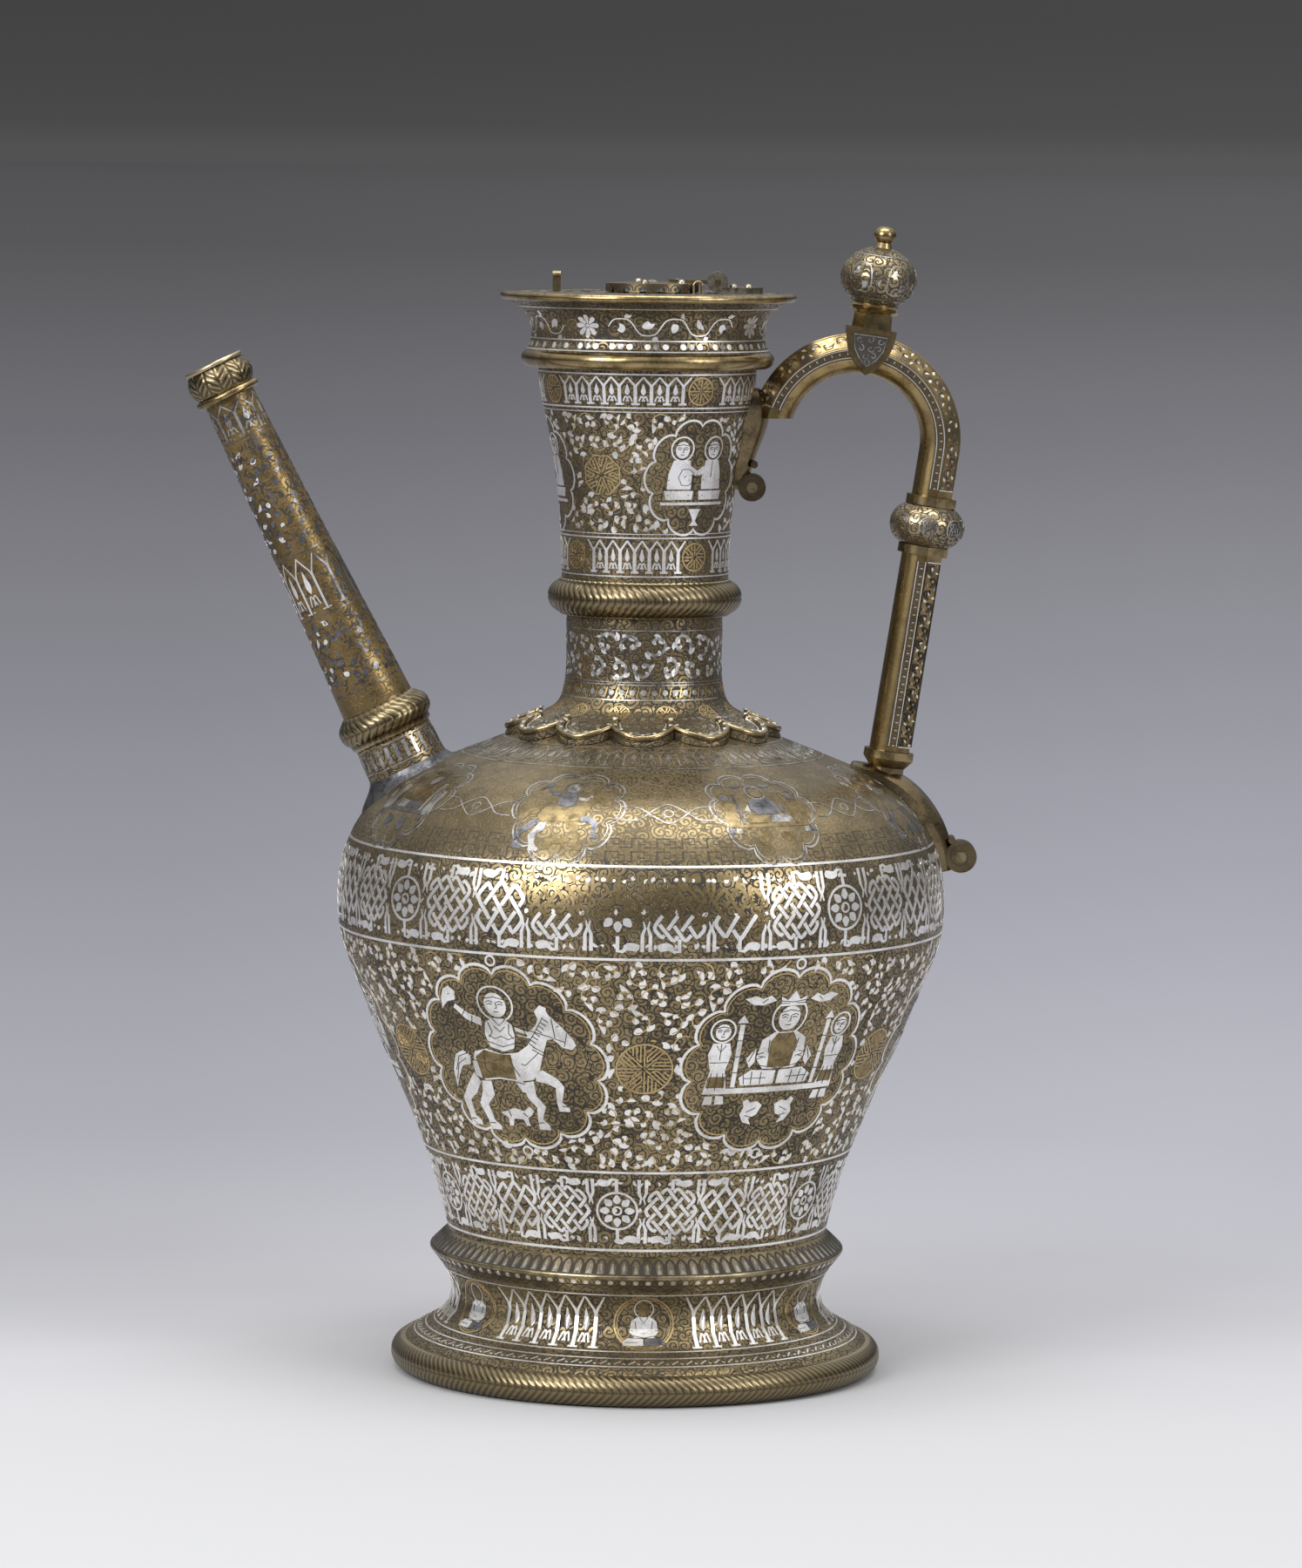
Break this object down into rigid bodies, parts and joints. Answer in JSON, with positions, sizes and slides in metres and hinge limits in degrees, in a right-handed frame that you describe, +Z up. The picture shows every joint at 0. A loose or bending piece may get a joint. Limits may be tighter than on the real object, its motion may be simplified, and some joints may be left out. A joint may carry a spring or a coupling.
{
  "type": "ibrik ewer",
  "caption": "Inlaid brass ewer with a swelling body on a flanged foot, a straight slanting spout, a flaring neck with a hinged lid and an arched handle.",
  "frame": {"origin": "the middle of the foot, on the axis of the vessel, in the plane that the foot ring stands on", "axes": "+Z up along the vessel's axis, the spout points to -X, the handle stands on the +X side, and the viewer of the picture is on the -Y side"},
  "size_m": [0.307, 0.2344, 0.4425],
  "materials": {
    "aged_brass": "hammered and engraved brass, aged to an olive brown",
    "polished_brass": "plain brass, rubbed bright along its edges",
    "silvered_brass": "brass with a worn grey skin",
    "silver_inlay": "beaten silver, bright where it is rubbed",
    "gold_inlay": "gold wire and sheet",
    "black_filling": "black bitumen filling in the engraved ground",
    "lead_solder": "dull grey lead solder"
  },
  "bodies": {
    "ewer": {"foot_ring": "aged_brass", "foot": "aged_brass", "foot_flange": "aged_brass", "base_disc": "aged_brass", "body_shell": "aged_brass", "neck_base": "aged_brass", "neck_ring": "aged_brass", "neck_cup": "aged_brass", "cup_ring": "polished_brass", "mouth_collar": "aged_brass", "rim_ring": "polished_brass", "mouth_plate": "silvered_brass", "hinge_leaf": "silvered_brass", "hinge_pin": "polished_brass", "hinge_leaf_rivets": "silver_inlay", "hinge_staples": "polished_brass", "catch_hook": "polished_brass", "spout_socket": "aged_brass", "spout_solder": "lead_solder", "spout_ring": "aged_brass", "spout_tube": "aged_brass", "spout_mouth_ring": "polished_brass", "spout_mouth": "aged_brass", "handle_bracket": "polished_brass", "bracket_scroll_pin": "polished_brass", "handle_arch": "aged_brass", "knop_upper_band": "polished_brass", "handle_knop": "aged_brass", "knop_lower_band": "polished_brass", "handle_shaft": "aged_brass", "shaft_band": "polished_brass", "handle_leaf": "polished_brass", "leaf_scroll_pin": "polished_brass", "shield_collar": "polished_brass", "finial_neck": "polished_brass", "finial_ring": "polished_brass", "finial_knob": "aged_brass", "finial_ball": "polished_brass"},
    "lid": {"lid_cap": "silvered_brass", "lid_strap": "polished_brass", "lid_rivets": "silver_inlay"}
  },
  "joints": [
    {"name": "lid_hinge", "type": "hinge", "parent": "ewer", "child": "lid", "pos_m": [0.0264, 0, 0.4204], "axis": [0, 1, 0], "range_deg": [0, 110]}
  ]
}
